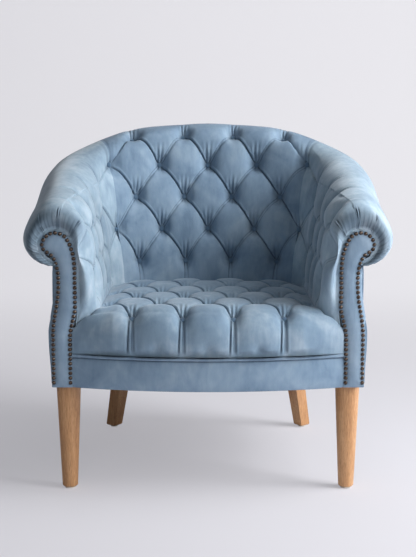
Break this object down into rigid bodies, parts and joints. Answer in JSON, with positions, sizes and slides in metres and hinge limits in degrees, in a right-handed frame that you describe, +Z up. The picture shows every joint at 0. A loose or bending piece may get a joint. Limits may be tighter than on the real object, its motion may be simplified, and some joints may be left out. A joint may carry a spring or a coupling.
{
  "type": "tufted tub armchair",
  "caption": "Deep-buttoned velvet tub armchair with a rolled rim, nailed scroll facings, a bowed buttoned seat and slender oak legs.",
  "frame": {"origin": "on the floor under the middle of the chair", "axes": "+X to the right as a viewer in front sees it, the front faces -Y, +Z up"},
  "size_m": [0.846, 0.7661, 0.8445],
  "materials": {
    "velvet": "steel-blue velvet with a soft sheen",
    "covered_button": "velvet drawn over the button",
    "piping": "velvet-covered cord",
    "nail_brass": "aged bronze, domed",
    "oak": "pale oak, matt lacquer",
    "frame_wood": "plain sawn beech",
    "webbing": "woven jute",
    "deck_felt": "grey felt",
    "dust_cloth": "black non-woven cloth",
    "bolt_steel": "zinc plated",
    "glide_plastic": "plain nylon"
  },
  "bodies": {
    "root": {"front_rail": "frame_wood", "side_rail_left": "frame_wood", "side_rail_right": "frame_wood", "back_rail": "frame_wood", "front_block_left": "frame_wood", "front_block_right": "frame_wood", "rear_block_left": "frame_wood", "rear_block_right": "frame_wood", "arm_post_left": "frame_wood", "arm_post_right": "frame_wood", "rear_arm_post_left": "frame_wood", "rear_arm_post_right": "frame_wood", "back_rib_left": "frame_wood", "back_rib_mid_left": "frame_wood", "back_rib_mid_right": "frame_wood", "back_rib_right": "frame_wood", "arm_rail_left": "frame_wood", "arm_rail_right": "frame_wood", "corner_rail_left": "frame_wood", "corner_rail_right": "frame_wood", "top_rail": "frame_wood", "arm_tack_rail_left": "frame_wood", "arm_tack_rail_right": "frame_wood", "back_tack_rail": "frame_wood", "seat_webbing_long": "webbing", "seat_webbing_cross": "webbing", "back_webbing": "webbing", "seat_deck": "deck_felt", "seat_pad": "velvet", "inside_back": "velvet", "inside_arm_left": "velvet", "inside_arm_right": "velvet", "seat_buttons": "covered_button", "back_buttons": "covered_button", "arm_buttons_left": "covered_button", "arm_buttons_right": "covered_button", "facing_left": "velvet", "facing_right": "velvet", "facing_nails_left": "nail_brass", "facing_nails_right": "nail_brass", "outside_arm_left": "velvet", "outside_arm_right": "velvet", "outside_back": "velvet", "front_border": "velvet", "front_welt": "piping", "dust_cover": "dust_cloth", "front_leg_left": "oak", "front_leg_right": "oak", "rear_leg_left": "oak", "rear_leg_right": "oak", "hanger_bolts": "bolt_steel", "leg_glides": "glide_plastic"}
  },
  "joints": []
}
